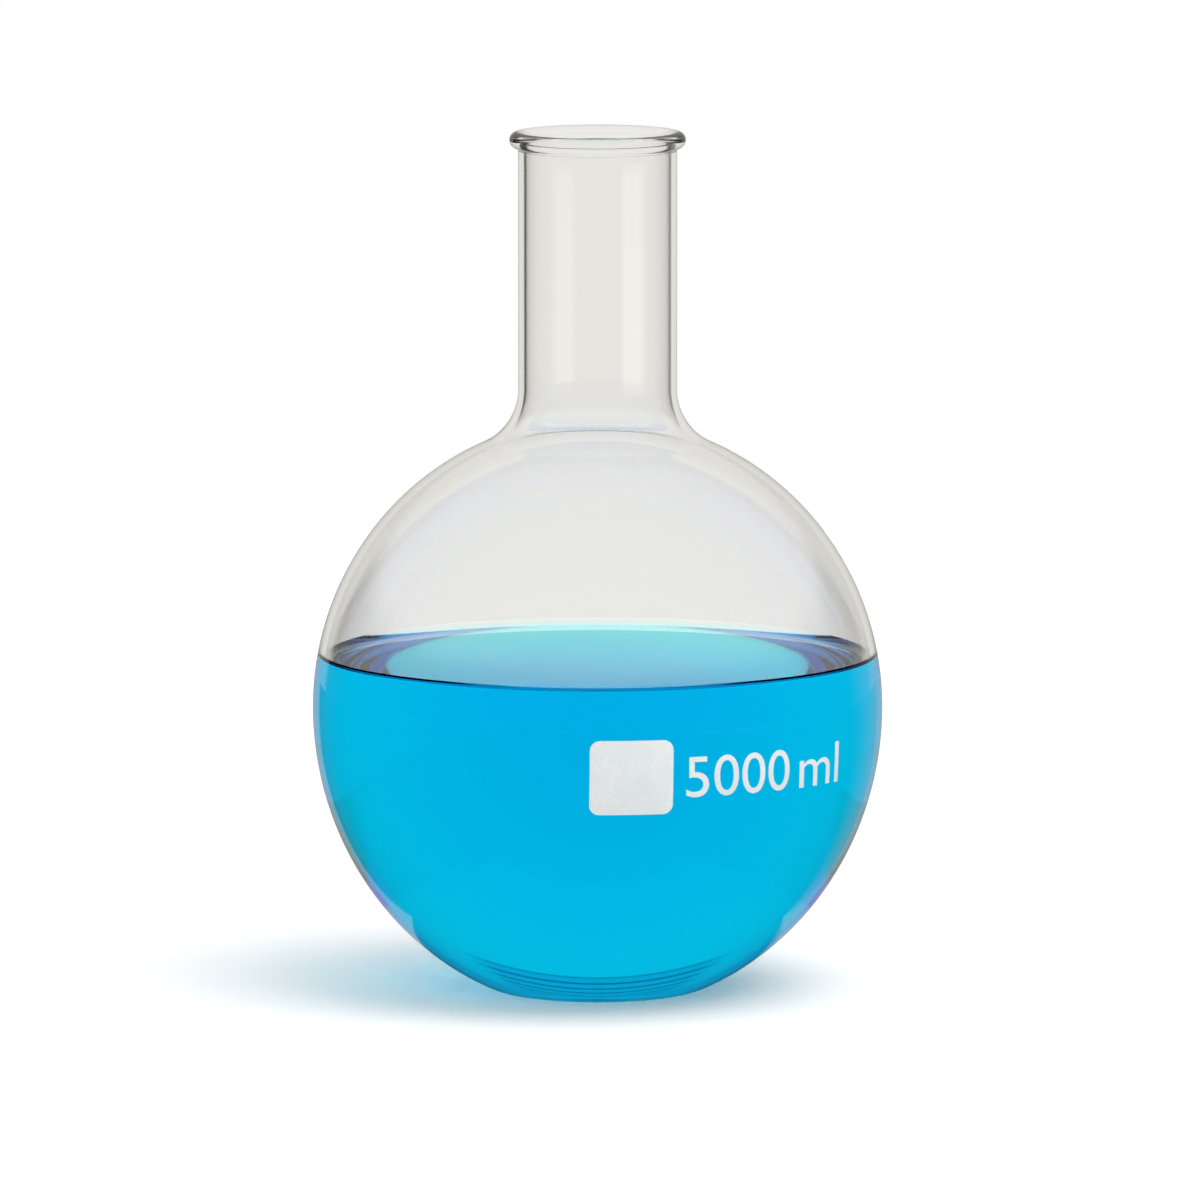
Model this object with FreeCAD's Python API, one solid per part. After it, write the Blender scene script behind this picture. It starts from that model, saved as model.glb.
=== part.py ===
import FreeCAD, Part
from FreeCAD import Vector

import math
import os

# Flat bottom flask, 5 litres, partly filled with coloured water.
# Millimetres, +Z up. The origin is on the axis, in the plane that the flask stands on.
# The front of the flask, with its marking panel, faces -Y.

# Bulb, sizes of the outside
bulb_radius = 111.5
bulb_centre_height = 111.3
bulb_rise = 113.2
base_cut_depth = 8.0
bulb_wall = 2.8

# Base, pressed flat while the glass was soft
heel_radius = 16.0
base_thickness = 4.0
rest_ring_width = 5.0
push_up = 1.0

# Neck and beaded rim
neck_radius = 31.0
neck_wall = 3.0
shoulder_radius = 23.5
overall_height = 337.0
bead_diameter = 6.4
bead_root_radius = 1.2

# Coloured water
liquid_level = 130.4
liquid_clearance = 0.1
meniscus_rise = 2.6
meniscus_width = 4.5

# White enamel panel on the front of the bulb
panel_width = 32.4
panel_height = 29.0
panel_corner_radius = 3.9
panel_centre_height = 98.3
panel_turn_deg = 6.8
panel_thickness = 0.2


def solve(value, low, high):
    """Where a falling function passes through zero between low and high."""
    for _ in range(60):
        middle = 0.5 * (low + high)
        if value(middle) > 0:
            low = middle
        else:
            high = middle
    return 0.5 * (low + high)


def point(radius, height):
    """A point of the outline, which lies in the XZ plane."""
    return Vector(radius, 0, height)


def arc(centre, radius, start, end):
    """Short way round a circle from start to end, both on the circle."""
    half_way = (start - centre) + (end - centre)
    half_way.normalize()
    return Part.Arc(start, centre + half_way * radius, end).toShape()


class Quarter:
    """A quarter of an ellipse from the widest level of the bulb to its pole.

    The angle is 0 at the widest level and a right angle at the pole. A negative rise is the lower half.
    """

    def __init__(self, radius, rise, centre_height):
        self.radius = radius
        self.rise = rise
        self.centre = point(0, centre_height)

    def at(self, angle, outwards=0.0):
        """Point at this angle, moved out along the outline's normal."""
        on_outline = point(self.radius * math.cos(angle), self.rise * math.sin(angle))
        normal = point(math.cos(angle) / self.radius, math.sin(angle) / self.rise)
        normal.normalize()
        return self.centre + on_outline + normal * outwards

    def edge(self, first_angle, last_angle):
        """The stretch between two angles, as an edge."""
        side = self.at(0)
        pole = self.at(math.pi / 2)
        if self.radius >= abs(self.rise):
            whole = Part.Ellipse(side, pole, self.centre)
            first, last = first_angle, last_angle
        else:
            whole = Part.Ellipse(pole, side, self.centre)
            first, last = math.pi / 2 - last_angle, math.pi / 2 - first_angle
        return Part.ArcOfEllipse(whole, first, last).toShape()

    def fillet_to_column(self, column_radius, fillet_radius):
        """Angle on the ellipse, centre and foot on the column of a hollow fillet to an upright column."""
        centre_radius = column_radius + fillet_radius
        angle = solve(lambda a: self.at(a, fillet_radius).x - centre_radius, 0, math.pi / 2)
        centre = self.at(angle, fillet_radius)
        return angle, centre, point(column_radius, centre.z)

    def round_to_floor(self, floor_height, round_radius):
        """Angle on the ellipse, centre and foot on the floor of a rounding down to a level floor."""
        centre_height = floor_height + round_radius
        angle = solve(lambda a: self.at(a, -round_radius).z - centre_height, 0, math.pi / 2)
        centre = self.at(angle, -round_radius)
        return angle, centre, point(centre.x, floor_height)


def shallow_arc(edge_point, crown_height):
    """Low dome from a point of the outline up to the axis."""
    crown = point(0, edge_point.z + crown_height)
    dome_radius = (edge_point.x ** 2 + crown_height ** 2) / (2 * crown_height)
    centre = point(0, crown.z - dome_radius)
    return arc(centre, dome_radius, edge_point, crown), crown


def bulb_halves(inset):
    """Upper and lower quarter of the bulb's outline, this far inside the outer surface."""
    upper = Quarter(bulb_radius - inset, bulb_rise - inset, bulb_centre_height)
    lower = Quarter(bulb_radius - inset, -(bulb_centre_height + base_cut_depth - inset), bulb_centre_height)
    return upper, lower


def solid_of_revolution(edges):
    """One solid from an outline that closes on the axis."""
    outline = Part.Wire(Part.__sortEdges__(edges))
    return Part.Face(outline).revolve(Vector(0, 0, 0), Vector(0, 0, 1), 360)


def outer_base_edges(lower):
    """Push-up, resting ring and rounded heel, and the angle where the bulb takes over."""
    heel_angle, heel_centre, heel_foot = lower.round_to_floor(0, heel_radius)
    ring_inside = point(heel_foot.x - rest_ring_width, 0)
    dome, crown = shallow_arc(ring_inside, push_up)
    ring = Part.LineSegment(ring_inside, heel_foot).toShape()
    heel = arc(heel_centre, heel_radius, heel_foot, lower.at(heel_angle))
    return [dome, ring, heel], crown, heel_angle


def inner_base_edges(lower, inset):
    """Inner heel and domed floor of a surface that lies inside the outer one, and its angle on the bulb."""
    floor_height = base_thickness + inset - bulb_wall
    inner_heel_radius = heel_radius - inset
    angle, centre, foot = lower.round_to_floor(floor_height, inner_heel_radius)
    heel = arc(centre, inner_heel_radius, lower.at(angle), foot)
    dome, crown = shallow_arc(foot, push_up)
    return [heel, dome], crown, angle


def rim_edges(neck_foot, bore_foot):
    """Outside of the neck, the bead and the bore, between the two ends of the shoulder."""
    bead_radius = bead_diameter / 2
    bead_centre = point(bore_foot.x + bead_radius, overall_height - bead_radius)
    root_centre_radius = neck_foot.x + bead_root_radius
    reach = bead_radius + bead_root_radius
    drop = math.sqrt(reach ** 2 - (root_centre_radius - bead_centre.x) ** 2)
    root_centre = point(root_centre_radius, bead_centre.z - drop)
    root_foot = point(neck_foot.x, root_centre.z)
    bead_start = bead_centre + (root_centre - bead_centre) * (bead_radius / reach)
    bead_end = point(bore_foot.x, bead_centre.z)
    bead_top = point(bead_centre.x, overall_height)
    return [
        Part.LineSegment(neck_foot, root_foot).toShape(),
        arc(root_centre, bead_root_radius, root_foot, bead_start),
        Part.Arc(bead_start, bead_centre + point(bead_radius, 0), bead_top).toShape(),
        arc(bead_centre, bead_radius, bead_top, bead_end),
        Part.LineSegment(bead_end, bore_foot).toShape(),
    ]


def make_flask():
    """The blown glass: outside from the push-up to the rim, then the inside back down."""
    upper, lower = bulb_halves(0)
    base, under_crown, heel_angle = outer_base_edges(lower)
    shoulder_angle, shoulder_centre, neck_foot = upper.fillet_to_column(neck_radius, shoulder_radius)
    shoulder = arc(shoulder_centre, shoulder_radius, upper.at(shoulder_angle), neck_foot)

    upper_in, lower_in = bulb_halves(bulb_wall)
    inner_base, floor_crown, inner_heel_angle = inner_base_edges(lower_in, bulb_wall)
    bore_radius = neck_radius - neck_wall
    inner_radius = shoulder_radius + neck_wall
    inner_angle, inner_centre, bore_foot = upper_in.fillet_to_column(bore_radius, inner_radius)
    inner_shoulder = arc(inner_centre, inner_radius, bore_foot, upper_in.at(inner_angle))

    edges = base + [lower.edge(0, heel_angle), upper.edge(0, shoulder_angle), shoulder]
    edges += rim_edges(neck_foot, bore_foot)
    edges += [inner_shoulder, upper_in.edge(0, inner_angle), lower_in.edge(0, inner_heel_angle)]
    edges += inner_base + [Part.LineSegment(floor_crown, under_crown).toShape()]
    return solid_of_revolution(edges)


def wall_up_to(top_height, upper, lower, heel_angle):
    """Bulb outline from its heel up to this height, and the point where it ends."""
    half = upper if top_height > bulb_centre_height else lower
    angle = math.asin((top_height - bulb_centre_height) / half.rise)
    if half is upper:
        return [lower.edge(0, heel_angle), upper.edge(0, angle)], upper.at(angle)
    return [lower.edge(angle, heel_angle)], lower.at(angle)


def make_liquid():
    """Water up to its level, drawn up the glass in a small meniscus all round."""
    inset = bulb_wall + liquid_clearance
    upper, lower = bulb_halves(inset)
    base, floor_crown, heel_angle = inner_base_edges(lower, inset)
    wall, wall_top = wall_up_to(liquid_level + meniscus_rise, upper, lower, heel_angle)

    curve_radius = (meniscus_width ** 2 + meniscus_rise ** 2) / (2 * meniscus_rise)
    level_edge = point(wall_top.x - meniscus_width, liquid_level)
    curve_centre = level_edge + point(0, curve_radius)
    meniscus = arc(curve_centre, curve_radius, level_edge, wall_top)

    surface_centre = point(0, liquid_level)
    surface = Part.LineSegment(surface_centre, level_edge).toShape()
    axis = Part.LineSegment(floor_crown, surface_centre).toShape()
    return solid_of_revolution(base + wall + [meniscus, surface, axis])


def whole_bulb(inset):
    """The bulb's full outline turned round, before it has a neck or a base."""
    upper, lower = bulb_halves(inset)
    pole_angle = math.pi / 2
    axis = Part.LineSegment(lower.at(pole_angle), upper.at(pole_angle)).toShape()
    return solid_of_revolution([upper.edge(0, pole_angle), lower.edge(0, pole_angle), axis])


def make_panel():
    """Thin enamel skin on the bulb, trimmed to a rounded rectangle seen square on."""
    reach = bulb_radius + panel_thickness
    low_corner = Vector(-panel_width / 2, -reach, panel_centre_height - panel_height / 2)
    block = Part.makeBox(panel_width, reach, panel_height, low_corner)
    corners = [edge for edge in block.Edges if abs(edge.tangentAt(edge.FirstParameter).y) > 0.5]
    stamp = block.makeFillet(panel_corner_radius, corners)
    stamp.rotate(Vector(0, 0, 0), Vector(0, 0, 1), panel_turn_deg)
    return whole_bulb(-panel_thickness).common(stamp).cut(whole_bulb(0))


def save(node, shape):
    """Write one node, after a look at its solids."""
    solids = shape.Solids
    if len(solids) != 1 or not shape.isValid():
        print("check", node, len(solids), "solids, valid", shape.isValid())
    body = solids[0]
    body.exportStep("parts/" + node + ".step")
    box = body.optimalBoundingBox()
    print(node, round(body.Volume / 1000, 1), "ml, height", round(box.ZMin, 2), "to", round(box.ZMax, 2))


os.makedirs("parts", exist_ok=True)
save("flask", make_flask())
save("blue_liquid", make_liquid())
save("marking_panel", make_panel())
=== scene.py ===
# %% [markdown]
# # A round glass flask with a flat base, half full of blue water
#
# The flask is one piece of blown glass: a wide bulb with its underside pressed flat, a hollow shoulder,
# a straight neck and a rounded bead at the mouth. The looks are almost all in the glass, so this lesson
# spends its care on three things: a wall of true thickness, water that fills the wall without a film of
# air, and a studio whose white and dark parts give the glass its edges.
#
# The part was built in CAD first. Its frame is loaded here, and every piece below is made in that frame,
# in metres, with the flask's axis on Z and its marked front towards -Y.

import math

import bmesh
import bpy
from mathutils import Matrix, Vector


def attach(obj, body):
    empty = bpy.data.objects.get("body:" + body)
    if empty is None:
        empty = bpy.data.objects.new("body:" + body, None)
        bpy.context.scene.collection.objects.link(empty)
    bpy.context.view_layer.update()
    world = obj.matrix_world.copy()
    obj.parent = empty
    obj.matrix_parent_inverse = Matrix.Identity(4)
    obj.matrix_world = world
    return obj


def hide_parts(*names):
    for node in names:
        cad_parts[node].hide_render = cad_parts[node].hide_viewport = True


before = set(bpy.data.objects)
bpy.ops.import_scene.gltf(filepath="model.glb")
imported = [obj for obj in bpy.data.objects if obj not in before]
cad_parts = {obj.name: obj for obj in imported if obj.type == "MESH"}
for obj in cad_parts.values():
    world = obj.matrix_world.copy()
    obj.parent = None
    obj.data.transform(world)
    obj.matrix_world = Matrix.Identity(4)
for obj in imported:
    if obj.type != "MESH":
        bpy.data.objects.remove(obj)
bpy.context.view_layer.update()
print("nodes:", sorted(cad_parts))

# %% [markdown]
# ## The outline of the glass
#
# A glassblower turns the flask on a lathe, so its form is one outline turned about the axis. The outline
# could be drawn by hand as a curve, but then the wall would never be even. Here it is worked out from the
# sizes that a glassblower would be given, in millimetres: two quarter ellipses for the bulb, an arc for the
# heel, an arc for the shoulder, and a ring of 6.4 mm rod for the bead. The inside is the same outline moved
# in by the thickness of the wall.

# %% Sizes of the glass
MM = 0.001

BULB_RADIUS = 111.5
BULB_CENTRE = 111.3
BULB_RISE = 113.2
BULB_DROP = 119.3
BULB_WALL = 2.8
HEEL_RADIUS = 16.0
FLOOR_THICKNESS = 4.0
RING_WIDTH = 5.0
PUSH_UP = 1.0
NECK_RADIUS = 31.0
NECK_WALL = 3.0
SHOULDER_RADIUS = 23.5
FLASK_HEIGHT = 337.0
BEAD_RADIUS = 3.2
ROOT_RADIUS = 1.2

WATER_LEVEL = 130.4
MENISCUS_RISE = 2.6
MENISCUS_WIDTH = 4.5
CONTACT_HEIGHT = WATER_LEVEL + MENISCUS_RISE
print("neck bore:", 2 * (NECK_RADIUS - NECK_WALL), "mm; water meets the wall at", CONTACT_HEIGHT, "mm")

# %% [markdown]
# The outline is a list of (radius, height) pairs. Short helpers walk along a line, an arc and an ellipse,
# and one search finds where an ellipse meets a fillet, because that has no neat formula.

# %% Walk along lines, arcs and ellipses
SEARCH_ROUNDS = 60


def find_angle(value):
    """The angle of an ellipse at which a falling value passes through zero."""
    low, high = 0.0, math.pi / 2
    for _ in range(SEARCH_ROUNDS):
        middle = (low + high) / 2
        if value(middle) > 0:
            low = middle
        else:
            high = middle
    return (low + high) / 2


def line_walk(start, end, steps):
    """Points of the straight line from start to end, without its first point."""
    return [(start[0] + (end[0] - start[0]) * step / steps, start[1] + (end[1] - start[1]) * step / steps)
            for step in range(1, steps + 1)]


def arc_walk(centre, start, end, steps):
    """Points of the short arc from start to end, without its first point."""
    first = math.atan2(start[1] - centre[1], start[0] - centre[0])
    turn = math.atan2(end[1] - centre[1], end[0] - centre[0]) - first
    turn = (turn + math.pi) % (2 * math.pi) - math.pi
    radius = math.dist(centre, start)
    walk = []
    for step in range(1, steps + 1):
        angle = first + turn * step / steps
        walk.append((centre[0] + radius * math.cos(angle), centre[1] + radius * math.sin(angle)))
    return walk


class Ellipse:
    """A quarter ellipse from the widest level of the bulb to its pole."""

    def __init__(self, radius, rise):
        self.radius, self.rise = radius, rise

    def at(self, angle, outwards=0.0):
        """The point at this angle, moved out along the outline's normal."""
        normal = Vector((math.cos(angle) / self.radius, math.sin(angle) / self.rise)).normalized()
        return (self.radius * math.cos(angle) + normal.x * outwards,
                BULB_CENTRE + self.rise * math.sin(angle) + normal.y * outwards)

    def walk(self, first, last, steps):
        """Points from one angle to another, without the first point."""
        return [self.at(first + (last - first) * step / steps) for step in range(1, steps + 1)]


def bulb(inset):
    """Upper and lower quarter of the bulb, this far inside the outer surface."""
    return Ellipse(BULB_RADIUS - inset, BULB_RISE - inset), Ellipse(BULB_RADIUS - inset, inset - BULB_DROP)


# %% [markdown]
# Two places need more than a plain arc. The base is a ring that stands on the bench, with the glass pushed
# up a little inside it so that the flask doesn't rock. The shoulder is a hollow fillet between the bulb and
# the neck, and it starts where the ellipse is just far enough from the neck.

# %% Meet the floor and meet the neck
INNER_HEEL_STEPS = 14
DOME_STEPS = 10


def heel(lower, floor_height, radius):
    """Angle on the ellipse, centre and foot of the rounding down to a level floor."""
    angle = find_angle(lambda a: lower.at(a, -radius)[1] - floor_height - radius)
    centre = lower.at(angle, -radius)
    return angle, centre, (centre[0], floor_height)


def shoulder(upper, column_radius, radius):
    """Angle on the ellipse, centre and foot of the hollow fillet to the neck."""
    angle = find_angle(lambda a: upper.at(a, radius)[0] - column_radius - radius)
    centre = upper.at(angle, radius)
    return angle, centre, (column_radius, centre[1])


def dome(edge, rise):
    """Low dome from an edge point in to the axis."""
    radius = (edge[0] ** 2 + rise ** 2) / (2 * rise)
    centre = (0.0, edge[1] + rise - radius)
    return arc_walk(centre, edge, (0.0, edge[1] + rise), DOME_STEPS)


def base_inside(inset):
    """Walk from the bulb's wall, round the inner heel and over the floor to the axis, and its first angle."""
    lower = bulb(inset)[1]
    inner_radius = HEEL_RADIUS - inset
    angle, centre, foot = heel(lower, FLOOR_THICKNESS + inset - BULB_WALL, inner_radius)
    return angle, arc_walk(centre, lower.at(angle), foot, INNER_HEEL_STEPS) + dome(foot, PUSH_UP)


def contact_angle(upper):
    """Angle on an upper quarter at which the water meets the wall."""
    return math.asin((CONTACT_HEIGHT - BULB_CENTRE) / upper.rise)


# %% [markdown]
# Now the whole walk: up the outside from under the base, over the bead, and down the inside. The bead is
# joined to the neck by a small hollow root, as melted glass leaves it. Each stretch has as many steps as it
# needs to look round from close by.

# %% The whole outline of the flask
HEEL_STEPS = 16
LOWER_STEPS = 48
UPPER_STEPS = 44
SHOULDER_STEPS = 20
TUBE_STEPS = 12
ROOT_STEPS = 6
BEAD_UNDER_STEPS = 8
BEAD_STEPS = 10
DRY_STEPS = 36
CONTACT_STEPS = 10


def outside_walk():
    """From the axis under the base, up to the foot of the neck."""
    upper, lower = bulb(0.0)
    heel_angle, heel_centre, foot = heel(lower, 0.0, HEEL_RADIUS)
    ring_inside = (foot[0] - RING_WIDTH, 0.0)
    under_dome = dome(ring_inside, PUSH_UP)[-2::-1]
    walk = [(0.0, PUSH_UP)] + under_dome + [ring_inside, foot]
    walk += arc_walk(heel_centre, foot, lower.at(heel_angle), HEEL_STEPS)
    walk += lower.walk(heel_angle, 0.0, LOWER_STEPS)
    angle, centre, neck_foot = shoulder(upper, NECK_RADIUS, SHOULDER_RADIUS)
    walk += upper.walk(0.0, angle, UPPER_STEPS)
    return walk + arc_walk(centre, upper.at(angle), neck_foot, SHOULDER_STEPS)


def rim_walk(neck_foot, bore_radius):
    """Up the neck, round the root and over the bead, to the top of the bore."""
    bead_centre = (bore_radius + BEAD_RADIUS, FLASK_HEIGHT - BEAD_RADIUS)
    reach = BEAD_RADIUS + ROOT_RADIUS
    root_x = NECK_RADIUS + ROOT_RADIUS
    root_centre = (root_x, bead_centre[1] - math.sqrt(reach ** 2 - (root_x - bead_centre[0]) ** 2))
    root_foot = (NECK_RADIUS, root_centre[1])
    bead_start = tuple(c + (r - c) * BEAD_RADIUS / reach for c, r in zip(bead_centre, root_centre))
    bead_side = (bead_centre[0] + BEAD_RADIUS, bead_centre[1])
    bead_top = (bead_centre[0], FLASK_HEIGHT)
    walk = line_walk(neck_foot, root_foot, TUBE_STEPS)
    walk += arc_walk(root_centre, root_foot, bead_start, ROOT_STEPS)
    walk += arc_walk(bead_centre, bead_start, bead_side, BEAD_UNDER_STEPS)
    walk += arc_walk(bead_centre, bead_side, bead_top, BEAD_STEPS)
    return walk + arc_walk(bead_centre, bead_top, (bore_radius, bead_centre[1]), BEAD_STEPS)


def inside_walk(bore_top):
    """Down the bore and the inside of the bulb, to the axis on the floor."""
    upper, lower = bulb(BULB_WALL)
    angle, centre, bore_foot = shoulder(upper, bore_top[0], SHOULDER_RADIUS + NECK_WALL)
    walk = line_walk(bore_top, bore_foot, TUBE_STEPS)
    walk += arc_walk(centre, bore_foot, upper.at(angle), SHOULDER_STEPS)
    walk += upper.walk(angle, contact_angle(upper), DRY_STEPS)
    walk += upper.walk(contact_angle(upper), 0.0, CONTACT_STEPS)
    inner_angle, inner_base = base_inside(BULB_WALL)
    return walk + lower.walk(0.0, inner_angle, LOWER_STEPS) + inner_base


glass_outline = outside_walk()
glass_outline += rim_walk(glass_outline[-1], NECK_RADIUS - NECK_WALL)
glass_outline += inside_walk(glass_outline[-1])
print("outline of the glass:", len(glass_outline), "points")

# %% [markdown]
# ## Turn the outline
#
# The Spin operator sweeps the outline round the axis, as the lathe does. The Screw modifier could do the
# same. Spin leaves a plain mesh that is easy to measure. The outline's two ends lie on the axis, so after a
# merge by distance the skin is closed, inside and out, and light that enters the glass always leaves it.

# %% Spin an outline into a closed skin
AROUND = 192
WELD_DISTANCE = 0.00001


def new_piece(name, mesh):
    """An object at the origin, with its place in its mesh."""
    piece = bpy.data.objects.new(name, mesh)
    bpy.context.scene.collection.objects.link(piece)
    return piece


def turned_piece(name, outline):
    """A mesh from an outline in millimetres. It is closed if both ends lie on the axis."""
    skin = bmesh.new()
    spine = [skin.verts.new((radius * MM, 0.0, height * MM)) for radius, height in outline]
    threads = [skin.edges.new(pair) for pair in zip(spine, spine[1:])]
    bmesh.ops.spin(skin, geom=spine + threads, cent=(0, 0, 0), axis=(0, 0, 1),
                   angle=2 * math.pi, steps=AROUND, use_merge=True)
    bmesh.ops.remove_doubles(skin, verts=skin.verts, dist=WELD_DISTANCE * MM)
    bmesh.ops.recalc_face_normals(skin, faces=skin.faces)
    for face in skin.faces:
        face.smooth = True
    open_edges = sum(not edge.is_manifold for edge in skin.edges)
    if open_edges and skin.faces[:][0].normal.z < 0:
        bmesh.ops.reverse_faces(skin, faces=skin.faces)
    litres = skin.calc_volume(signed=True) * 1000
    mesh = bpy.data.meshes.new(name)
    skin.to_mesh(mesh)
    skin.free()
    print(name, len(mesh.polygons), "faces,", open_edges, "open edges,", round(litres, 3), "litres")
    return new_piece(name, mesh)


blown_glass = turned_piece("blown_glass", glass_outline)
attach(blown_glass, "root")
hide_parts("flask")

# %% [markdown]
# ## The blue water
#
# The water fills the bulb a little above its widest level. It climbs the glass at its edge in a small
# meniscus, and that curved edge is what draws the dark line all round the surface.
#
# Real water wets the glass, so light passes straight from one into the other. If the water were simply a
# second clear body in the first, a film of air would lie between them, mirror the light and ring the water
# with a clear band. So the work is shared by three things: the wetted part of the inner wall bends light
# as between glass and water, a skin on top bends it as between water and air, and the body of the water
# between them bends nothing and only gives the colour.

# %% Outline of the water and its meniscus
WATER_CLEARANCE = 0.1
SKIN_LIFT = 0.04
SKIN_BITE = 0.05
SURFACE_STEPS = 12


def surface_walk(wall_top):
    """Down the meniscus from the wall, and along the level surface in to the axis."""
    level_edge = (wall_top[0] - MENISCUS_WIDTH, wall_top[1] - MENISCUS_RISE)
    curve_radius = (MENISCUS_WIDTH ** 2 + MENISCUS_RISE ** 2) / (2 * MENISCUS_RISE)
    curve_centre = (level_edge[0], level_edge[1] + curve_radius)
    meniscus = arc_walk(curve_centre, wall_top, level_edge, SURFACE_STEPS)
    edge = meniscus[-1]
    shares = [1 - step / SURFACE_STEPS for step in range(1, SURFACE_STEPS + 1)]
    return meniscus + [(edge[0] * share, edge[1]) for share in shares]


def water_outline():
    """From the axis in the floor, out and up the wall, over the meniscus and along the surface."""
    inset = BULB_WALL + WATER_CLEARANCE
    upper, lower = bulb(inset)
    inner_angle, inner_base = base_inside(inset)
    walk = inner_base[::-1] + lower.walk(inner_angle, 0.0, LOWER_STEPS)
    walk += upper.walk(0.0, contact_angle(upper), CONTACT_STEPS)
    return walk + surface_walk(walk[-1])


def skin_outline():
    """From inside the wall at the contact line, over the meniscus and along the surface."""
    upper = bulb(BULB_WALL)[0]
    contact = upper.at(contact_angle(upper))
    wall_top = (contact[0] + SKIN_BITE, contact[1] + SKIN_LIFT)
    return [wall_top] + surface_walk(wall_top)


blue_water = turned_piece("blue_water", water_outline())
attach(blue_water, "root")
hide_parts("blue_liquid")

water_skin = turned_piece("water_skin", skin_outline())
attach(water_skin, "root")

# %% [markdown]
# ## The enamel marks
#
# The marks are white enamel, printed on the bulb through a screen and fired into it: a rounded panel to
# write on, and the capacity. Both are flat shapes laid on a surface that curves two ways. So each is first
# made flat and cut into a fine grid, and then every point is moved to its place on the bulb.

# %% Lay a flat shape on the bulb
PRINT_HEIGHT = 98.3
PRINT_LIFT = 0.01
PRINT_CELL = 1.2
CUT_TOLERANCE = 0.0001


def radius_at(height):
    """Outer radius of the lower bulb at this height."""
    return BULB_RADIUS * math.sqrt(1 - ((height - BULB_CENTRE) / BULB_DROP) ** 2)


def on_bulb(along, up, lift, turn_deg):
    """Point this far round the bulb from a turned middle line, above the print line, and off the glass."""
    height = PRINT_HEIGHT + up
    radius = radius_at(height)
    turn = along / radius + math.radians(turn_deg)
    slope = Vector((radius / BULB_RADIUS ** 2, (height - BULB_CENTRE) / BULB_DROP ** 2)).normalized()
    out = radius + slope.x * lift
    return Vector((out * math.sin(turn), -out * math.cos(turn), height + slope.y * lift)) * MM


def cut_in_cells(skin, size):
    """Cut a flat shape along a square grid, so that it can bend."""
    for axis in (0, 1):
        places = [vert.co[axis] for vert in skin.verts]
        cut = math.floor(min(places) / size) * size
        while cut < max(places):
            plane = Vector((0, 0, 0))
            plane[axis] = 1
            geometry = skin.verts[:] + skin.edges[:] + skin.faces[:]
            bmesh.ops.bisect_plane(skin, geom=geometry, dist=CUT_TOLERANCE,
                                   plane_co=plane * cut, plane_no=plane)
            cut += size


def printed_piece(name, skin, thickness, turn_deg=0.0):
    """Bend a flat shape on to the bulb, and give it the thickness of the enamel."""
    cut_in_cells(skin, PRINT_CELL)
    bmesh.ops.recalc_face_normals(skin, faces=skin.faces)
    if skin.faces[:][0].normal.z < 0:
        bmesh.ops.reverse_faces(skin, faces=skin.faces)
    flat = skin.faces[:]
    top = bmesh.ops.extrude_face_region(skin, geom=flat)["geom"]
    raised = {item for item in top if isinstance(item, bmesh.types.BMVert)}
    bmesh.ops.reverse_faces(skin, faces=[face for face in flat if face.is_valid])
    for vert in skin.verts:
        vert.co = on_bulb(vert.co.x, vert.co.y, thickness if vert in raised else PRINT_LIFT, turn_deg)
    bmesh.ops.recalc_face_normals(skin, faces=skin.faces)
    mesh = bpy.data.meshes.new(name)
    skin.to_mesh(mesh)
    skin.free()
    print(name, len(mesh.polygons), "faces")
    return new_piece(name, mesh)


# %% [markdown]
# The panel's outline is a rectangle with round corners, walked corner by corner.

# %% The panel to write on
PANEL_WIDTH = 32.4
PANEL_HEIGHT = 29.0
PANEL_CORNER = 3.9
PANEL_TURN_DEG = 6.8
PANEL_THICKNESS = 0.2
CORNER_STEPS = 12


def rounded_rectangle(width, height, corner):
    """A flat face with round corners."""
    skin = bmesh.new()
    rim = []
    for quarter, (side_x, side_y) in enumerate(((1, 1), (-1, 1), (-1, -1), (1, -1))):
        for step in range(CORNER_STEPS + 1):
            angle = math.radians(90 * (quarter + step / CORNER_STEPS))
            rim.append(skin.verts.new((side_x * (width / 2 - corner) + corner * math.cos(angle),
                                       side_y * (height / 2 - corner) + corner * math.sin(angle), 0)))
    skin.faces.new(rim)
    return skin


panel_shape = rounded_rectangle(PANEL_WIDTH, PANEL_HEIGHT, PANEL_CORNER)
enamel_panel = printed_piece("enamel_panel", panel_shape, PANEL_THICKNESS, PANEL_TURN_DEG)
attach(enamel_panel, "root")
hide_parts("marking_panel")

# %% [markdown]
# The capacity is plain lettering. A text object gives the outlines of its letters, and the mesh of each word
# is stretched to the place that was measured for it, to the right of the panel.

# %% The capacity mark
CAPACITY_WORDS = [("5000", 34.6, 81.0), ("ml", 86.4, 110.6)]
CAPACITY_LOW = -8.4
CAPACITY_HIGH = 7.7
CAPACITY_THICKNESS = 0.06
LETTER_STEPS = 6


def add_word(skin, word, left, right, bottom, top):
    """Add flat letters that fill a box."""
    letters = bpy.data.curves.new("letters", "FONT")
    letters.body = word
    letters.resolution_u = LETTER_STEPS
    holder = new_piece("letters", letters)
    flat = bpy.data.meshes.new_from_object(holder)
    bpy.data.objects.remove(holder)
    for axis, low, high in ((0, left, right), (1, bottom, top)):
        places = [vert.co[axis] for vert in flat.vertices]
        first, span = min(places), max(places) - min(places)
        for vert in flat.vertices:
            vert.co[axis] = low + (vert.co[axis] - first) / span * (high - low)
    skin.from_mesh(flat)
    bpy.data.meshes.remove(flat)


capacity_shape = bmesh.new()
for word, left, right in CAPACITY_WORDS:
    add_word(capacity_shape, word, left, right, CAPACITY_LOW, CAPACITY_HIGH)
capacity_mark = printed_piece("capacity_mark", capacity_shape, CAPACITY_THICKNESS)
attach(capacity_mark, "root")

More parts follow.
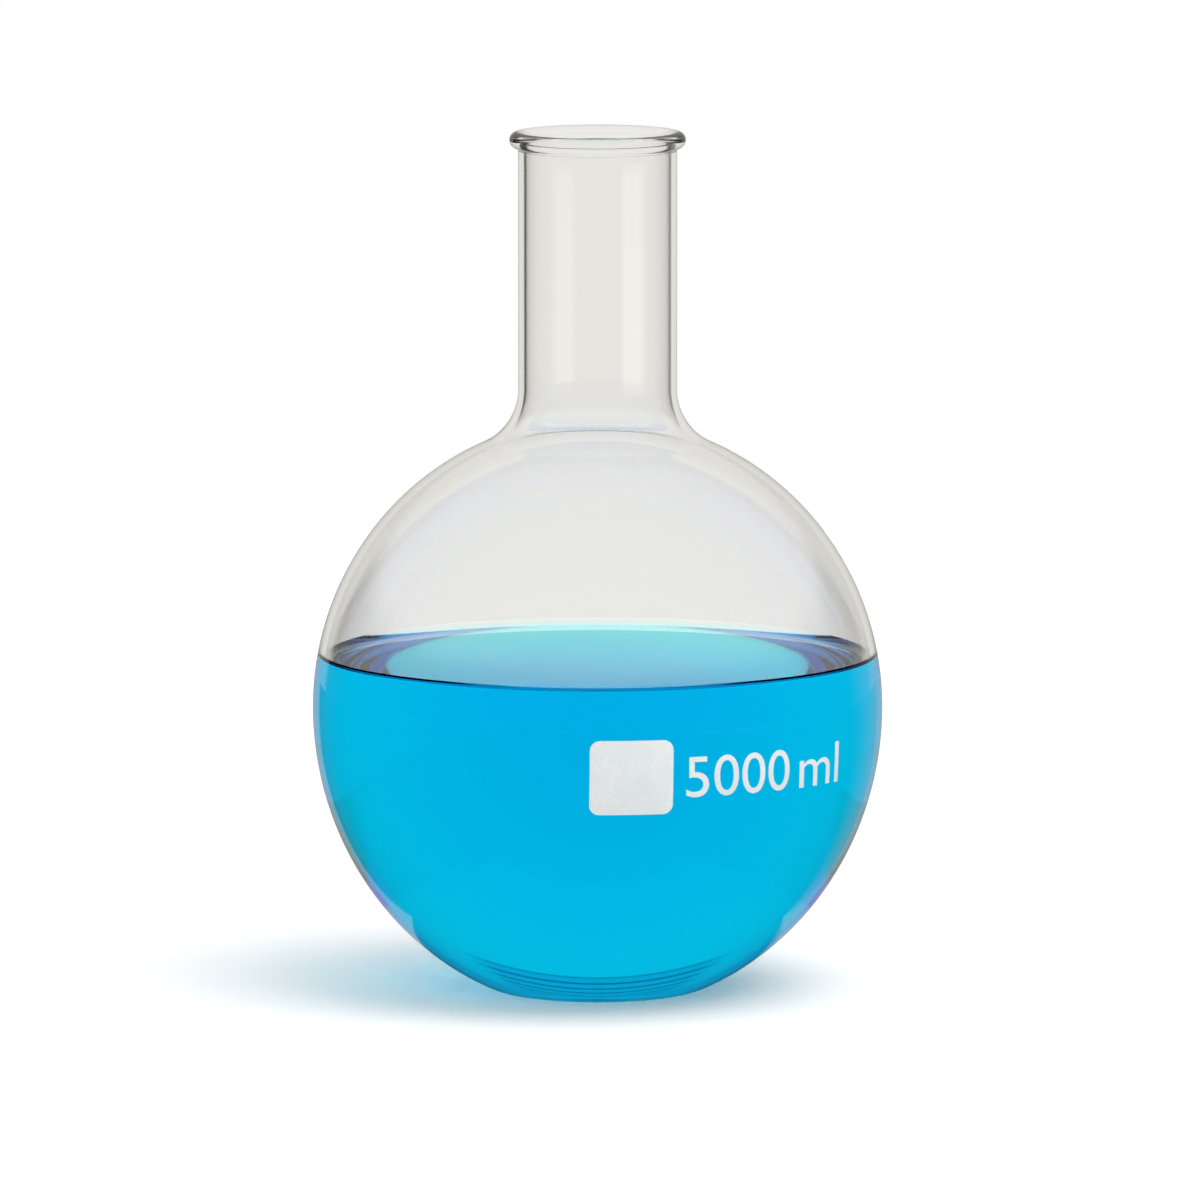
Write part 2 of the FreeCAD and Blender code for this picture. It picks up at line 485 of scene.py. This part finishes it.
# %% [markdown]
# ## Finishes
#
# Every finish is made of nodes. A few helpers keep the graphs short: one adds a node and sets its sockets,
# one makes a material and gives its shader, and one makes a surface gently uneven.

# %% Helpers for node graphs
WAVE_DETAIL = 1.0
WAVE_HEIGHT = 0.0006


def add_node(tree, kind, values=None, **settings):
    """A node with its settings, and plain values or links on its sockets."""
    node = tree.nodes.new(kind)
    for name, setting in settings.items():
        setattr(node, name, setting)
    for socket, value in (values or {}).items():
        if isinstance(value, bpy.types.NodeSocket):
            tree.links.new(value, node.inputs[socket])
        else:
            node.inputs[socket].default_value = value
    return node


def new_material(name):
    """A material with its node tree and its shader."""
    material = bpy.data.materials.new(name)
    material.use_nodes = True
    return material, material.node_tree, material.node_tree.nodes["Principled BSDF"]


def soft_waves(tree, scale, strength):
    """The normal of a gently uneven surface."""
    place = add_node(tree, "ShaderNodeTexCoord").outputs["Object"]
    waves = add_node(tree, "ShaderNodeTexNoise", {"Vector": place, "Scale": scale, "Detail": WAVE_DETAIL})
    return add_node(tree, "ShaderNodeBump", {"Height": waves.outputs["Fac"], "Strength": strength,
                                             "Distance": WAVE_HEIGHT}).outputs["Normal"]


# %% [markdown]
# **Glass.** Laboratory glass is clear and bends light strongly, with an index of 1.47. A blown wall is never
# quite even, so a very low, wide bump moves what is seen through it by a hair. The glass has almost no
# colour: each surface takes a trace of blue out of the light, which leaves it the faintest bit warm.
#
# Water has an index of 1.333. Where it wets the wall, light bends only by the ratio of the two, so those
# faces get a second material with that ratio. All three clear materials differ only in a few numbers.

# %% Clear materials
GLASS_INDEX = 1.47
WATER_INDEX = 1.333
GLASS_TINT = (1.0, 1.0, 0.995, 1.0)
NO_TINT = (1.0, 1.0, 1.0, 1.0)
GLASS_WAVES = 9.0
GLASS_UNEVENNESS = 0.05
WATER_WAVES = 14.0
WATER_UNEVENNESS = 0.02


def make_clear(shader, index, tint):
    """Set a shader to clear matter that bends light by this index."""
    shader.inputs["Base Color"].default_value = tint
    shader.inputs["Roughness"].default_value = 0.0
    shader.inputs["IOR"].default_value = index
    shader.inputs["Transmission Weight"].default_value = 1.0


def clear_material(name, index, tint, wave_scale, unevenness):
    """A clear material with a gently uneven surface."""
    material, tree, shader = new_material(name)
    make_clear(shader, index, tint)
    tree.links.new(soft_waves(tree, wave_scale, unevenness), shader.inputs["Normal"])
    return material


clear_glass = clear_material("clear_glass", GLASS_INDEX, GLASS_TINT, GLASS_WAVES, GLASS_UNEVENNESS)
wetted_glass = clear_material("wetted_glass", GLASS_INDEX / WATER_INDEX, GLASS_TINT, GLASS_WAVES,
                              GLASS_UNEVENNESS)
water_surface = clear_material("water_surface", WATER_INDEX, NO_TINT, WATER_WAVES, WATER_UNEVENNESS)
water_skin.data.materials.append(water_surface)
print("index where water wets the glass:", round(GLASS_INDEX / WATER_INDEX, 3))

# %% The wetted part of the wall
blown_glass.data.materials.append(clear_glass)
blown_glass.data.materials.append(wetted_glass)
bulb_middle = Vector((0.0, 0.0, BULB_CENTRE * MM))
wetted = 0
for face in blown_glass.data.polygons:
    faces_inwards = face.normal.dot(face.center - bulb_middle) < 0
    if faces_inwards and face.center.z < CONTACT_HEIGHT * MM:
        face.material_index = 1
        wetted += 1
print("wetted faces:", wetted)

# %% [markdown]
# **Blue water.** The colour of a clear liquid isn't on its surface. It comes from the way that light travels
# through it: red is taken out within a few millimetres, green and blue hardly at all. So the body of the
# water is an absorbing volume. Its own surface has an index of 1, which bends and mirrors nothing.

# %% Blue water
DYE_COLOUR = (0.0, 0.963, 0.997, 1.0)
DYE_DENSITY = 92.0

water, tree, shader = new_material("blue_water")
make_clear(shader, 1.0, NO_TINT)
dye = add_node(tree, "ShaderNodeVolumeAbsorption", {"Color": DYE_COLOUR, "Density": DYE_DENSITY})
tree.links.new(dye.outputs["Volume"], tree.nodes["Material Output"].inputs["Volume"])
blue_water.data.materials.append(water)
print("water ready")

# %% [markdown]
# **White enamel.** Fired enamel is a matt, slightly chalky white. Its print screen leaves pinholes and a thin
# edge, so a fine noise varies its white, its height and its roughness, and a wider one clouds its white.

# %% White enamel
GRAIN_SCALE = 900.0
CLOUD_SCALE = 60.0
THIN_ENAMEL = (0.75, 0.795, 0.81, 1.0)
FULL_ENAMEL = (0.85, 0.885, 0.89, 1.0)
PIT_DEPTH = 0.00003

enamel, tree, shader = new_material("white_enamel")
place = add_node(tree, "ShaderNodeTexCoord").outputs["Object"]
grain = add_node(tree, "ShaderNodeTexNoise", {"Vector": place, "Scale": GRAIN_SCALE, "Detail": 3.0})
grain = grain.outputs["Fac"]
cloud = add_node(tree, "ShaderNodeTexNoise", {"Vector": place, "Scale": CLOUD_SCALE, "Detail": 2.0})
both = add_node(tree, "ShaderNodeMath", {0: grain, 1: cloud.outputs["Fac"]}, operation="MULTIPLY")
fullness = add_node(tree, "ShaderNodeMapRange", {"Value": both.outputs[0], "From Min": 0.1, "From Max": 0.4})
shade = add_node(tree, "ShaderNodeMix", {"Factor": fullness.outputs["Result"], "A": THIN_ENAMEL,
                                         "B": FULL_ENAMEL}, data_type="RGBA")
tree.links.new(shade.outputs["Result"], shader.inputs["Base Color"])
gloss = add_node(tree, "ShaderNodeMapRange", {"Value": grain, "To Min": 0.45, "To Max": 0.7})
tree.links.new(gloss.outputs["Result"], shader.inputs["Roughness"])
pits = add_node(tree, "ShaderNodeBump", {"Height": grain, "Strength": 0.3, "Distance": PIT_DEPTH})
tree.links.new(pits.outputs["Normal"], shader.inputs["Normal"])
for printed in (enamel_panel, capacity_mark):
    printed.data.materials.append(enamel)
print("enamel ready")

# %% [markdown]
# ## The studio
#
# Glass has no colour of its own to light. It shows what stands behind and beside it, so a photographer
# builds its edges from white and dark boards. Here the boards are in the world: straight through the glass
# everything is a soft white, and to both sides of that the world is dark, which draws the thin grey lines
# of the wall. Most of what the glass mirrors from the camera's side is dark too.
#
# A few more helpers make such a world from the direction of a ray: they add limits with soft edges, and
# mix levels and colours.

# %% Helpers for levels and directions
def maths(tree, operation, *values):
    """The result of one Math node."""
    return add_node(tree, "ShaderNodeMath", dict(enumerate(values)), operation=operation).outputs[0]


def joined(tree, operation, *values):
    """Several values joined one by one, such as their product or the largest of them."""
    result = values[0]
    for value in values[1:]:
        result = maths(tree, operation, result, value)
    return result


def fade(tree, value, start, end):
    """0 before start and 1 after end, with a smooth step between."""
    return add_node(tree, "ShaderNodeMapRange", {"Value": value, "From Min": start, "From Max": end},
                    interpolation_type="SMOOTHSTEP").outputs["Result"]


def fade_deg(tree, angle, start, end):
    """The same fade for an angle, with its limits in degrees."""
    return fade(tree, angle, math.radians(start), math.radians(end))


def between_deg(tree, angle, low, high, softness):
    """1 between two limits in degrees, falling to 0 outside them."""
    rise = fade_deg(tree, angle, low - softness, low + softness)
    fall = fade_deg(tree, angle, high + softness, high - softness)
    return maths(tree, "MULTIPLY", rise, fall)


def blend(tree, factor, first, second):
    """A colour between two others."""
    return add_node(tree, "ShaderNodeMix", {"Factor": factor, "A": first, "B": second},
                    data_type="RGBA").outputs["Result"]


def grey(level):
    """A plain grey that never changes."""
    return (level, level, level, 1.0)


def tinted(tree, level, tint):
    """A colour whose level is worked out by nodes."""
    red, green, blue = (maths(tree, "MULTIPLY", level, part) for part in tint)
    colour = add_node(tree, "ShaderNodeCombineColor", {"Red": red, "Green": green, "Blue": blue})
    return colour.outputs["Color"]


# %% Directions in the world
world = bpy.data.worlds.new("studio")
bpy.context.scene.world = world
world.use_nodes = True
tree = world.node_tree
direction = add_node(tree, "ShaderNodeTexCoord").outputs["Generated"]
parts = add_node(tree, "ShaderNodeSeparateXYZ", {"Vector": direction}).outputs
aside = maths(tree, "ABSOLUTE", maths(tree, "ARCTAN2", parts["X"], parts["Y"]))
elevation = maths(tree, "ARCSINE", parts["Z"])
ray = add_node(tree, "ShaderNodeLightPath").outputs

# %% [markdown]
# **What is seen through the glass.** There are two whites. Behind the empty glass stands a slightly grey and
# warm one, and the water finds a brighter one, because the dye already takes its share. Light Path tells the
# two apart: light crosses four surfaces on its way through the empty bulb, and more through the water.
#
# Only the empty glass sees the dark boards, at 27 to 63 degrees to each side. They are repeated every
# quarter turn, so that the flask reads as well from its sides.

# %% Through the glass
WATER_WHITE = (0.985, 0.94, 0.875, 1.0)
EMPTY_WHITE = (0.88, 0.862, 0.83, 1.0)
BOARD_DARK = (0.16, 0.16, 0.15, 1.0)
BOARD_EDGE_DEG = (24, 30)
BOARD_REACH_DEG = {"low": -12, "high": 10, "softness": 3}
EMPTY_CROSSINGS = 4.5

from_quarter = maths(tree, "PINGPONG", aside, math.pi / 4)
board_side = fade_deg(tree, from_quarter, *BOARD_EDGE_DEG)
board_level = between_deg(tree, elevation, **BOARD_REACH_DEG)
empty_glass = maths(tree, "LESS_THAN", ray["Transmission Depth"], EMPTY_CROSSINGS)
board = joined(tree, "MULTIPLY", board_side, board_level, empty_glass)
through = blend(tree, empty_glass, WATER_WHITE, EMPTY_WHITE)
through = blend(tree, board, through, BOARD_DARK)
print("boards start at", BOARD_EDGE_DEG, "degrees to each side")

# %% [markdown]
# **Lamps in the ceiling.** The rounded heel turns the view through the water upwards, to the ceiling behind
# the flask. Rows of lamps hang there, and the dark gaps between the rows are the fine lines across the base.

# %% Rows of lamps in the ceiling
CEILING_EDGE_DEG = 33.5
LAMP_SPACING_DEG = 3.6
LAMP_GAP = (0.22, 0.26, 0.33, 1.0)
LAMP_LIGHT = (0.6, 0.68, 0.77, 1.0)
EDGE_SOFTNESS = 0.01
GAP_SOFTNESS = 0.4
BEHIND_FADE_DEG = (30, 20)

ceiling_edge = math.radians(CEILING_EDGE_DEG)
past_edge = maths(tree, "SUBTRACT", elevation, ceiling_edge)
turns = maths(tree, "MULTIPLY", past_edge, 2 * math.pi / math.radians(LAMP_SPACING_DEG))
lamp_rows = maths(tree, "MULTIPLY_ADD", maths(tree, "COSINE", turns), -0.5, 0.5)
ceiling_seen = blend(tree, fade(tree, lamp_rows, 0.0, GAP_SOFTNESS), LAMP_GAP, LAMP_LIGHT)
above_edge = fade(tree, elevation, ceiling_edge - EDGE_SOFTNESS, ceiling_edge + EDGE_SOFTNESS)
water_only = maths(tree, "SUBTRACT", 1.0, empty_glass)
straight_behind = fade_deg(tree, aside, *BEHIND_FADE_DEG)
in_ceiling = joined(tree, "MULTIPLY", above_edge, water_only, straight_behind)
through = blend(tree, in_ceiling, through, ceiling_seen)
print("rows of lamps:", LAMP_SPACING_DEG, "degrees apart, from", CEILING_EDGE_DEG, "degrees up")

# %% [markdown]
# **What the glass mirrors.** A dark room, so that the glass stays clear. Behind the flask stands the white
# backdrop, which the rim of the bulb mirrors at a low angle. It has a tail on each side, and the right one
# is the brighter. Light that was mirrored inside the wall itself finds the backdrop brighter still, which
# draws the pale line beside each edge. Above is a plain ceiling. On the camera's side are two soft boxes, at
# the level that only the upright neck mirrors, and they leave the pale bands on it.

# %% Levels of the backdrop
DARK_ROOM = 0.012
BACKDROP_LEVEL = 0.45
IN_WALL_LEVEL = 0.85
BACKDROP_EDGE_DEG = 35
BACKDROP_SOFTNESS_DEG = 3
TAIL_END_DEG = 62
LEFT_TAIL = 0.06
RIGHT_TAIL = 0.32
MIDDLE_SOFTNESS = 0.1
WALL_CROSSINGS = 2.5


def on_right(tree, side):
    """0 on the left of the middle and 1 on its right."""
    return fade(tree, side, -MIDDLE_SOFTNESS, MIDDLE_SOFTNESS)


def backdrop_at(tree, aside, side, edge_deg, level):
    """Level of the backdrop this far from straight behind, with the side below 0 on the left."""
    inner, outer = edge_deg - BACKDROP_SOFTNESS_DEG, edge_deg + BACKDROP_SOFTNESS_DEG
    middle = maths(tree, "MULTIPLY", fade_deg(tree, aside, outer, inner), level)
    tail_level = maths(tree, "MULTIPLY_ADD", on_right(tree, side), RIGHT_TAIL - LEFT_TAIL, LEFT_TAIL)
    tail = maths(tree, "MULTIPLY", fade_deg(tree, aside, TAIL_END_DEG, inner), tail_level)
    return maths(tree, "MAXIMUM", middle, tail)


has_entered = maths(tree, "GREATER_THAN", ray["Transmission Depth"], 0.5)
in_first_wall = maths(tree, "LESS_THAN", ray["Transmission Depth"], WALL_CROSSINGS)
inside_wall = maths(tree, "MULTIPLY", has_entered, in_first_wall)
middle_level = maths(tree, "MULTIPLY_ADD", inside_wall, IN_WALL_LEVEL - BACKDROP_LEVEL, BACKDROP_LEVEL)
backdrop = backdrop_at(tree, aside, parts["X"], BACKDROP_EDGE_DEG, middle_level)
print("backdrop level:", BACKDROP_LEVEL, "and in its tails", LEFT_TAIL, "and", RIGHT_TAIL)

# %% Soft boxes, ceiling and dark room
WARM_TINT = (1.0, 0.98, 0.93)
LEFT_BOX = 0.4
RIGHT_BOX = 1.1
BOX_REACH_DEG = {"low": -9, "high": -5, "softness": 1}
BOX_WIDTH_DEG = {"low": 38, "high": 74, "softness": 5}
CEILING_LEVEL = 0.75
CEILING_FADE_DEG = (11, 24)

from_camera_side = maths(tree, "SUBTRACT", math.pi, aside)
box_level = between_deg(tree, elevation, **BOX_REACH_DEG)
box_place = between_deg(tree, from_camera_side, **BOX_WIDTH_DEG)
box_light = maths(tree, "MULTIPLY_ADD", on_right(tree, parts["X"]), RIGHT_BOX - LEFT_BOX, LEFT_BOX)
boxes = joined(tree, "MULTIPLY", box_place, box_level, box_light)
ceiling = maths(tree, "MULTIPLY", fade_deg(tree, elevation, *CEILING_FADE_DEG), CEILING_LEVEL)
mirrored = tinted(tree, joined(tree, "MAXIMUM", backdrop, boxes, ceiling, DARK_ROOM), WARM_TINT)
print("soft boxes:", LEFT_BOX, "on the left and", RIGHT_BOX, "on the right")

# %% [markdown]
# **What lights the matt surfaces.** The enamel and the bench are lit by an even dome and two round soft
# lights. The key stands high on the right, a little to the front, and lays the shadow to the left of the
# base. The other is low in front, and lights the enamel. The round body of water gathers the key's light
# into a blue glow on the bench, and it is given a little more of it here.

# %% Dome, key and front light
KEY_DIRECTION = Vector((0.41, -0.26, 0.875)).normalized()
KEY_LEVEL = 3.9
KEY_SPREAD_DEG = (8, 32)
GATHERED_GAIN = 2.0
FRONT_DIRECTION = Vector((0.1, -0.96, 0.26)).normalized()
FRONT_LEVEL = 1.4
FRONT_SPREAD_DEG = (15, 35)
DOME_LEVEL = 0.37
PLAIN_TINT = (1.0, 1.0, 1.0)


def soft_light(tree, direction, towards, level, core_deg, edge_deg):
    """A round soft light in the world, full inside its core and gone at its edge."""
    closeness = add_node(tree, "ShaderNodeVectorMath", {0: direction, 1: towards}, operation="DOT_PRODUCT")
    edge, core = math.cos(math.radians(edge_deg)), math.cos(math.radians(core_deg))
    return maths(tree, "MULTIPLY", fade(tree, closeness.outputs["Value"], edge, core), level)


key = soft_light(tree, direction, KEY_DIRECTION, KEY_LEVEL, *KEY_SPREAD_DEG)
through_water = maths(tree, "GREATER_THAN", ray["Transmission Depth"], EMPTY_CROSSINGS)
gathered = maths(tree, "MULTIPLY", ray["Is Transmission Ray"], through_water)
key = maths(tree, "MULTIPLY", key, maths(tree, "MULTIPLY_ADD", gathered, GATHERED_GAIN - 1.0, 1.0))
front = soft_light(tree, direction, FRONT_DIRECTION, FRONT_LEVEL, *FRONT_SPREAD_DEG)
light = tinted(tree, joined(tree, "ADD", key, front, DOME_LEVEL), PLAIN_TINT)
print("key stands", round(math.degrees(math.asin(KEY_DIRECTION.z))), "degrees up")

# %% [markdown]
# **Which ray sees which.** A ray that was only bent on its way has as many bounces as transmissions, and it
# sees what lies behind the glass. One that was mirrored has a bounce more. Past four crossings it is in the
# water, where a mirrored ray counts as bent, so that the water stays bright. Rays that have met a matt
# surface see the lights, and the camera itself sees plain white.

# %% Choose by the kind of ray
ANY_CROSSINGS = 99


def kinds_of_ray(tree, last_step, crossings):
    """1 for a ray that glass has only bent, and 1 for one that glass has mirrored.

    The last step is 1 in the world, where a ray counts as one bounce further on, and 0 on a surface.
    A mirrored ray with more crossings than these counts as bent.
    """
    ray = add_node(tree, "ShaderNodeLightPath").outputs
    met_glass = maths(tree, "MAXIMUM", ray["Is Transmission Ray"], ray["Is Glossy Ray"])
    before_matt = maths(tree, "MULTIPLY", met_glass, maths(tree, "LESS_THAN", ray["Diffuse Depth"], 0.5))
    mirrorings = maths(tree, "SUBTRACT", ray["Ray Depth"], ray["Transmission Depth"])
    has_mirrored = maths(tree, "GREATER_THAN", mirrorings, last_step + 0.5)
    few_crossings = maths(tree, "LESS_THAN", ray["Transmission Depth"], crossings)
    mirrored = joined(tree, "MULTIPLY", before_matt, has_mirrored, few_crossings)
    return maths(tree, "SUBTRACT", before_matt, mirrored), mirrored


is_through, is_mirrored = kinds_of_ray(tree, 1, EMPTY_CROSSINGS)
sky = blend(tree, is_mirrored, light, mirrored)
sky = blend(tree, is_through, sky, through)
sky = blend(tree, ray["Is Camera Ray"], sky, grey(1.0))
tree.links.new(sky, tree.nodes["Background"].inputs["Color"])
tree.nodes["Background"].inputs["Strength"].default_value = 1.0
print("world:", len(tree.nodes), "nodes")

# %% [markdown]
# ## The bench
#
# A pale matt disc that ends far behind the flask. Its light has to agree with the world's, or its edge would
# show in the glass. So it gives off painted light. The camera sees it brighter than the lights alone would
# make it, less so close to the flask, and it clips to white apart from the shadow. Through the glass, its
# far part is painted the world's white, and close to the flask, through the water, painted light lifts its
# shadow. Mirrored, it shows a painted level of the backdrop or of the dark room, and in the water a painted
# dim blue-green.

# %% The bench
BENCH_RADIUS = 1.5
BENCH_SIDES = 96
bench_skin = bmesh.new()
bmesh.ops.create_circle(bench_skin, cap_ends=True, cap_tris=True, segments=BENCH_SIDES, radius=BENCH_RADIUS)
bench_mesh = bpy.data.meshes.new("bench")
bench_skin.to_mesh(bench_mesh)
bench_skin.free()
bench = new_piece("bench", bench_mesh)
print("bench:", len(bench_mesh.polygons), "faces")

# %% Places on the bench
NEAR_FADE = (0.34, 0.06)
FAR_FADE = (0.5, 1.2)
SHADOW_FADE = (0.04, 0.14)

bench_finish, tree, shader = new_material("bench_white")
shader.inputs["Roughness"].default_value = 1.0
shader.inputs["Specular IOR Level"].default_value = 0.0
spot = add_node(tree, "ShaderNodeNewGeometry").outputs["Position"]
parts = add_node(tree, "ShaderNodeSeparateXYZ", {"Vector": spot}).outputs
squares = [maths(tree, "MULTIPLY", parts[axis], parts[axis]) for axis in "XY"]
from_axis = maths(tree, "SQRT", maths(tree, "ADD", *squares))
near = fade(tree, from_axis, *NEAR_FADE)
far = fade(tree, from_axis, *FAR_FADE)
by_shadow = fade(tree, from_axis, *SHADOW_FADE)

# %% Kinds of ray that meet the bench
FRONT_LIMIT = 0.08

is_through, is_mirrored = kinds_of_ray(tree, 0, EMPTY_CROSSINGS)
any_mirrored = kinds_of_ray(tree, 0, ANY_CROSSINGS)[1]
mirrored_in_water = maths(tree, "SUBTRACT", any_mirrored, is_mirrored)
before_limit = maths(tree, "LESS_THAN", parts["Y"], FRONT_LIMIT)
# Rays mirrored inside the water that meet the bench in front of a line 8 cm behind the axis; they get a
# painted reflection below.
in_water = maths(tree, "MULTIPLY", mirrored_in_water, before_limit)
ray = add_node(tree, "ShaderNodeLightPath").outputs
empty_glass = maths(tree, "LESS_THAN", ray["Transmission Depth"], EMPTY_CROSSINGS)

# %% The backdrop, painted on the bench for mirrored rays
BENCH_BACKDROP_EDGE_DEG = 27
BULB_SHARE = 0.9

out_of_bulb = maths(tree, "SUBTRACT", maths(tree, "ABSOLUTE", parts["X"]), BULB_SHARE * BULB_RADIUS * MM)
aside = maths(tree, "ABSOLUTE", maths(tree, "ARCTAN2", out_of_bulb, parts["Y"]))
backdrop = backdrop_at(tree, aside, parts["X"], BENCH_BACKDROP_EDGE_DEG, BACKDROP_LEVEL)
backdrop = maths(tree, "MAXIMUM", backdrop, DARK_ROOM)

# %% Matt white of the bench
BENCH_WHITES = (0.80, 0.82)
MOTTLE_SCALE = 30.0

place = add_node(tree, "ShaderNodeTexCoord").outputs["Object"]
mottle = add_node(tree, "ShaderNodeTexNoise", {"Vector": place, "Scale": MOTTLE_SCALE})
bench_white = blend(tree, mottle.outputs["Fac"], *(grey(level) for level in BENCH_WHITES))
seen_far = maths(tree, "MULTIPLY", is_through, far)
# For rays mirrored by the glass or in the water, and far rays through the glass, the lit white is dropped,
# and the bench shows only the painted light below.
unlit = joined(tree, "MAXIMUM", is_mirrored, in_water, seen_far)
tree.links.new(blend(tree, unlit, bench_white, grey(0.0)), shader.inputs["Base Color"])

# %% Painted light that each kind of ray sees on the bench
OUTER_WATER_PAINTED_LIGHT = (0.185, 0.162, 0.125, 1.0)
NEAR_WATER_PAINTED_LIGHT = (0.66, 0.68, 0.6, 1.0)
EMPTY_GLASS_PAINTED_LIGHT = (0.08, 0.062, 0.03, 1.0)
IN_WATER_PAINTED_REFLECTION = (0.1, 0.42, 0.45, 1.0)
LIFT_BY_SHADOW = 0.18
LIFT_BEYOND = 0.4

# Seen through the water, painted light tops up the bench's lit white to the world's, and close to the flask a
# brighter painted light lifts the cast shadow under and around it.
glow = blend(tree, near, OUTER_WATER_PAINTED_LIGHT, NEAR_WATER_PAINTED_LIGHT)
# Through the empty glass, a weaker painted light tops up the bench's lit white to the world's.
glow = blend(tree, empty_glass, glow, EMPTY_GLASS_PAINTED_LIGHT)
# Far out, the bench seen through the glass is painted the world's white outright.
glow = blend(tree, far, glow, blend(tree, empty_glass, WATER_WHITE, EMPTY_WHITE))
glow = blend(tree, is_through, grey(0.0), glow)
# Mirrored inside the water, that part of the bench shows a painted dim blue-green reflection, not its lit
# white.
glow = blend(tree, in_water, glow, IN_WATER_PAINTED_REFLECTION)
# Mirrored by the glass, the bench shows a painted reflection at the backdrop's level, not its lit white.
glow = blend(tree, is_mirrored, glow, tinted(tree, backdrop, WARM_TINT))
# Painted light for the camera: 0.18 close to the flask and 0.4 beyond. It clips the bench to white, keeps the
# shadow deep by the base and pales the shadow further out.
lift = blend(tree, by_shadow, grey(LIFT_BY_SHADOW), grey(LIFT_BEYOND))
glow = blend(tree, ray["Is Camera Ray"], glow, lift)
tree.links.new(glow, shader.inputs["Emission Color"])
shader.inputs["Emission Strength"].default_value = 1.0
bench.data.materials.append(bench_finish)
print("finish of the bench:", len(tree.nodes), "nodes")

# %% [markdown]
# ## The camera
#
# The photograph was taken from far away, a little above the flask. The mouth is seen as a slimmer ellipse
# than the water, because the camera looks down on the water more steeply, and the two together give the
# distance: 5 m. The lens is chosen so that the frame is 469.4 mm wide at the flask.

# %% The camera
FRAME_WIDTH = 469.4 * MM
CAMERA_DISTANCE = 5.0
CAMERA_ELEVATION_DEG = 7.2
LOOK_AT = Vector((0.94 * MM, 0.0, 153.2 * MM))
SENSOR_WIDTH = 36.0
FARTHEST_SEEN = 100.0

lens = bpy.data.cameras.new("camera")
lens.sensor_fit = "HORIZONTAL"
lens.sensor_width = SENSOR_WIDTH
lens.lens = SENSOR_WIDTH * CAMERA_DISTANCE / FRAME_WIDTH
lens.clip_end = FARTHEST_SEEN
camera = bpy.data.objects.new("camera", lens)
bpy.context.scene.collection.objects.link(camera)
tilt = math.radians(CAMERA_ELEVATION_DEG)
camera.location = LOOK_AT + Vector((0.0, -math.cos(tilt), math.sin(tilt))) * CAMERA_DISTANCE
camera.rotation_euler = (math.pi / 2 - tilt, 0.0, 0.0)
bpy.context.scene.camera = camera
print("lens:", round(lens.lens, 1), "mm")

# %% [markdown]
# Light crosses up to a dozen surfaces on its way through both walls and the water, so the path needs more
# bounces than usual. The colours are shown as they are, with the Standard view.

# %% Bounces and view
cycles = bpy.context.scene.cycles
cycles.max_bounces = 32
cycles.transmission_bounces = 28
cycles.glossy_bounces = 12
cycles.diffuse_bounces = 3
cycles.caustics_refractive = True
cycles.caustics_reflective = False
bpy.context.scene.view_settings.view_transform = "Standard"
print("bounces:", cycles.max_bounces)
